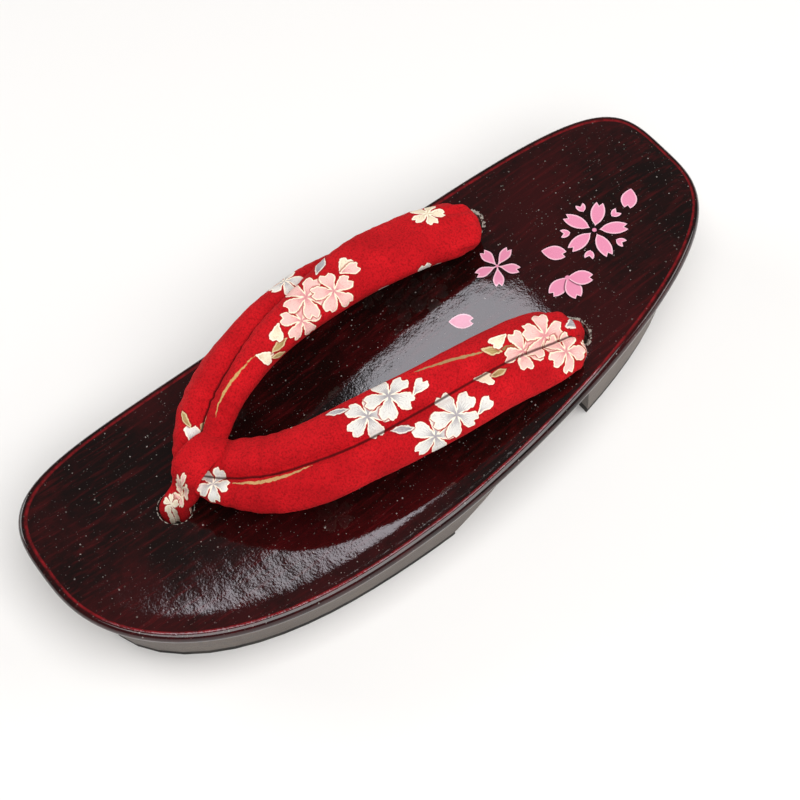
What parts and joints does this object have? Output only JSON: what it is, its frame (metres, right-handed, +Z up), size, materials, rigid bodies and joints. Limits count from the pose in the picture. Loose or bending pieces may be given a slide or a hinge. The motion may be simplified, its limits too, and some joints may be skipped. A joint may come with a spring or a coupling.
{
  "type": "geta sandal",
  "caption": "Left geta sandal: padded red floral V strap with a front loop on a curved, dark lacquered board over an arched wooden base with rubber soles.",
  "frame": {"origin": "middle of the sandal's box, on the floor under its soles", "axes": "+Z up, +Y from the toe to the heel, +X towards the wearer's outer side (this is a left sandal)"},
  "size_m": [0.096, 0.245, 0.0621],
  "materials": {
    "lacquered_board": "wood under dark red-black gloss lacquer, with fine pores and a printed flower pattern at the heel",
    "stained_wood": "satin grey-brown stained wood",
    "sole_rubber": "matt black sheet rubber",
    "printed_crepe": "red cotton crepe printed with pale blossoms, softly padded"
  },
  "bodies": {
    "root": {"deck": "lacquered_board", "base": "stained_wood", "front_sole": "sole_rubber", "heel_sole": "sole_rubber", "strap": "printed_crepe", "front_loop": "printed_crepe"}
  },
  "joints": []
}
